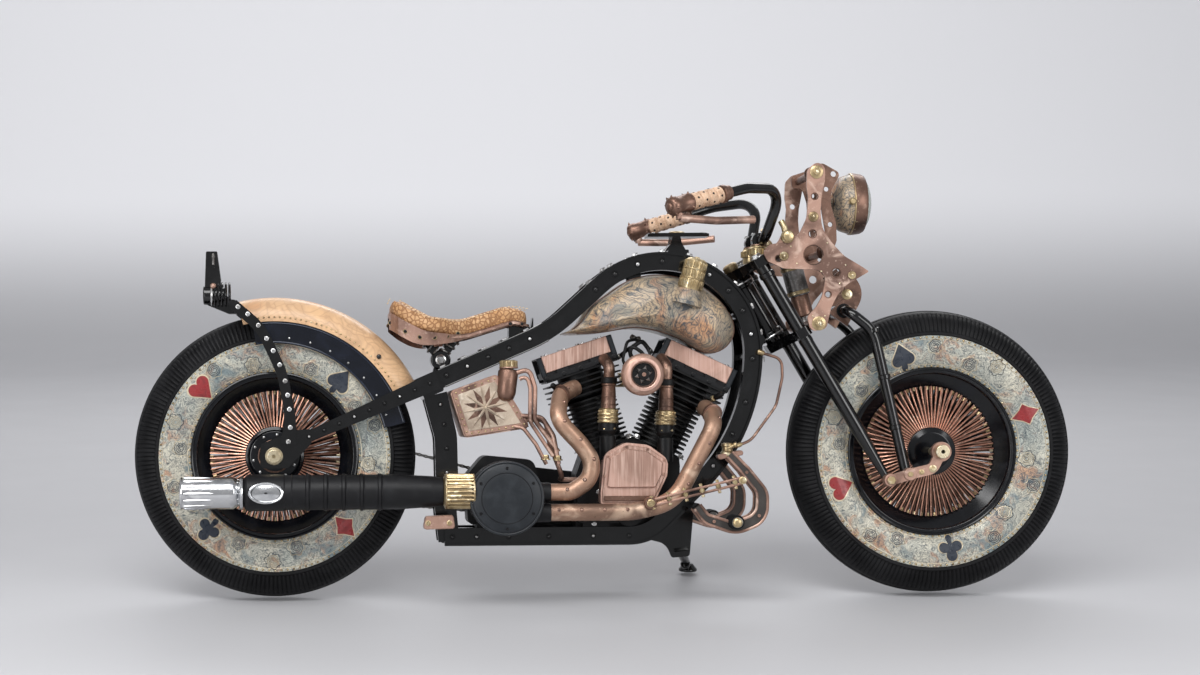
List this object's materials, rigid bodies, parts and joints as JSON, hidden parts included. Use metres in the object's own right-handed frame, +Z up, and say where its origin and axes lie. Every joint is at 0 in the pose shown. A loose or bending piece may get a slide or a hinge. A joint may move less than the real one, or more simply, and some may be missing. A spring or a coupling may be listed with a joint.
{
  "type": "chopper motorcycle",
  "caption": "Chopper motorcycle with balloon tyres, an arched beam frame over its tank, an open V engine, a plated girder fork and a side stand.",
  "frame": {"origin": "middle of the footprint box on the ground, the machine leaning 8 degrees left on its side stand", "axes": "+X towards the front wheel, +Y to the rider's left, +Z up from the ground"},
  "size_m": [2.3515, 0.7098, 1.076],
  "materials": {
    "tyre": "matt black rubber",
    "rim_black": "gloss black",
    "spokes": "aged copper",
    "drive_steel": "worn steel",
    "axle_brass": "aged brass",
    "frame_black": "gloss black",
    "crown_leather": "tan with ink drawing",
    "valance_blue": "gloss blue black",
    "copper": "aged copper",
    "seat_leather": "orange tan, scaly",
    "engine_black": "satin black",
    "brass": "aged brass",
    "tip_chrome": "polished",
    "grip_leather": "wrapped brown leather",
    "lens_glass": "pale lens"
  },
  "bodies": {
    "frame": {"air_cleaner": "copper", "cam_cover": "copper", "carburettor": "brass", "crankcase": "engine_black", "cylinders": "engine_black", "dash_pedestal": "brass", "drive_chain": "drive_steel", "exhaust_drum": "engine_black", "exhaust_headers": "copper", "fender_crown": "crown_leather", "fender_struts": "frame_black", "fender_valances": "valance_blue", "filler_caps": "brass", "foot_controls": "frame_black", "frame_beam_left": "frame_black", "frame_beam_right": "frame_black", "frame_cross_tubes": "frame_black", "fuel_tank": "crown_leather", "gearbox": "engine_black", "muffler": "engine_black", "muffler_clamp": "brass", "muffler_tip": "tip_chrome", "oil_lines": "copper", "oil_tank": "copper", "primary_cover": "engine_black", "pushrod_tubes": "brass", "rear_axle": "axle_brass", "rear_stays": "frame_black", "rocker_boxes": "engine_black", "seat_cushion": "seat_leather", "seat_mounts": "frame_black", "seat_pan": "copper", "seat_post": "frame_black", "stand_bracket": "frame_black", "steering_head": "frame_black", "tail_lamp": "copper"},
    "rear_wheel": {"rear_tyre": "tyre", "rear_rim": "rim_black", "rear_spokes": "spokes", "rear_hub_cover": "rim_black", "rear_sprocket": "drive_steel"},
    "fork": {"fork_legs": "frame_black", "spring_legs": "frame_black", "front_rockers": "frame_black", "fork_side_plates": "copper", "fork_linkage": "brass", "fork_damper": "frame_black", "headlight": "copper", "headlight_lens": "lens_glass", "headlight_bracket": "frame_black", "handlebar": "frame_black", "grips": "grip_leather", "control_levers": "copper", "bar_risers": "brass", "front_axle": "axle_brass"},
    "front_wheel": {"front_tyre": "tyre", "front_rim": "rim_black", "front_spokes": "spokes", "front_hub_covers": "rim_black"},
    "side_stand": {"side_stand": "frame_black"}
  },
  "joints": [
    {"name": "rear_wheel_spin", "type": "hinge", "parent": "frame", "child": "rear_wheel", "pos_m": [-0.8218, -0.08199, 0.35132], "axis": [0, 0.9903, -0.1392], "continuous": true},
    {"name": "steering", "type": "hinge", "parent": "frame", "child": "fork", "pos_m": [0.4335, -0.04219, 0.63453], "axis": [-0.5, 0.1205, 0.8576], "range_deg": [-25, 25]},
    {"name": "front_wheel_spin", "type": "hinge", "parent": "fork", "child": "front_wheel", "pos_m": [0.8218, -0.08199, 0.35132], "axis": [0, 0.9903, -0.1392], "continuous": true},
    {"name": "stand_fold", "type": "hinge", "parent": "frame", "child": "side_stand", "pos_m": [0.212, -0.00179, 0.09567], "axis": [-0.1332, 0.5211, 0.843], "range_deg": [0, 100]}
  ]
}
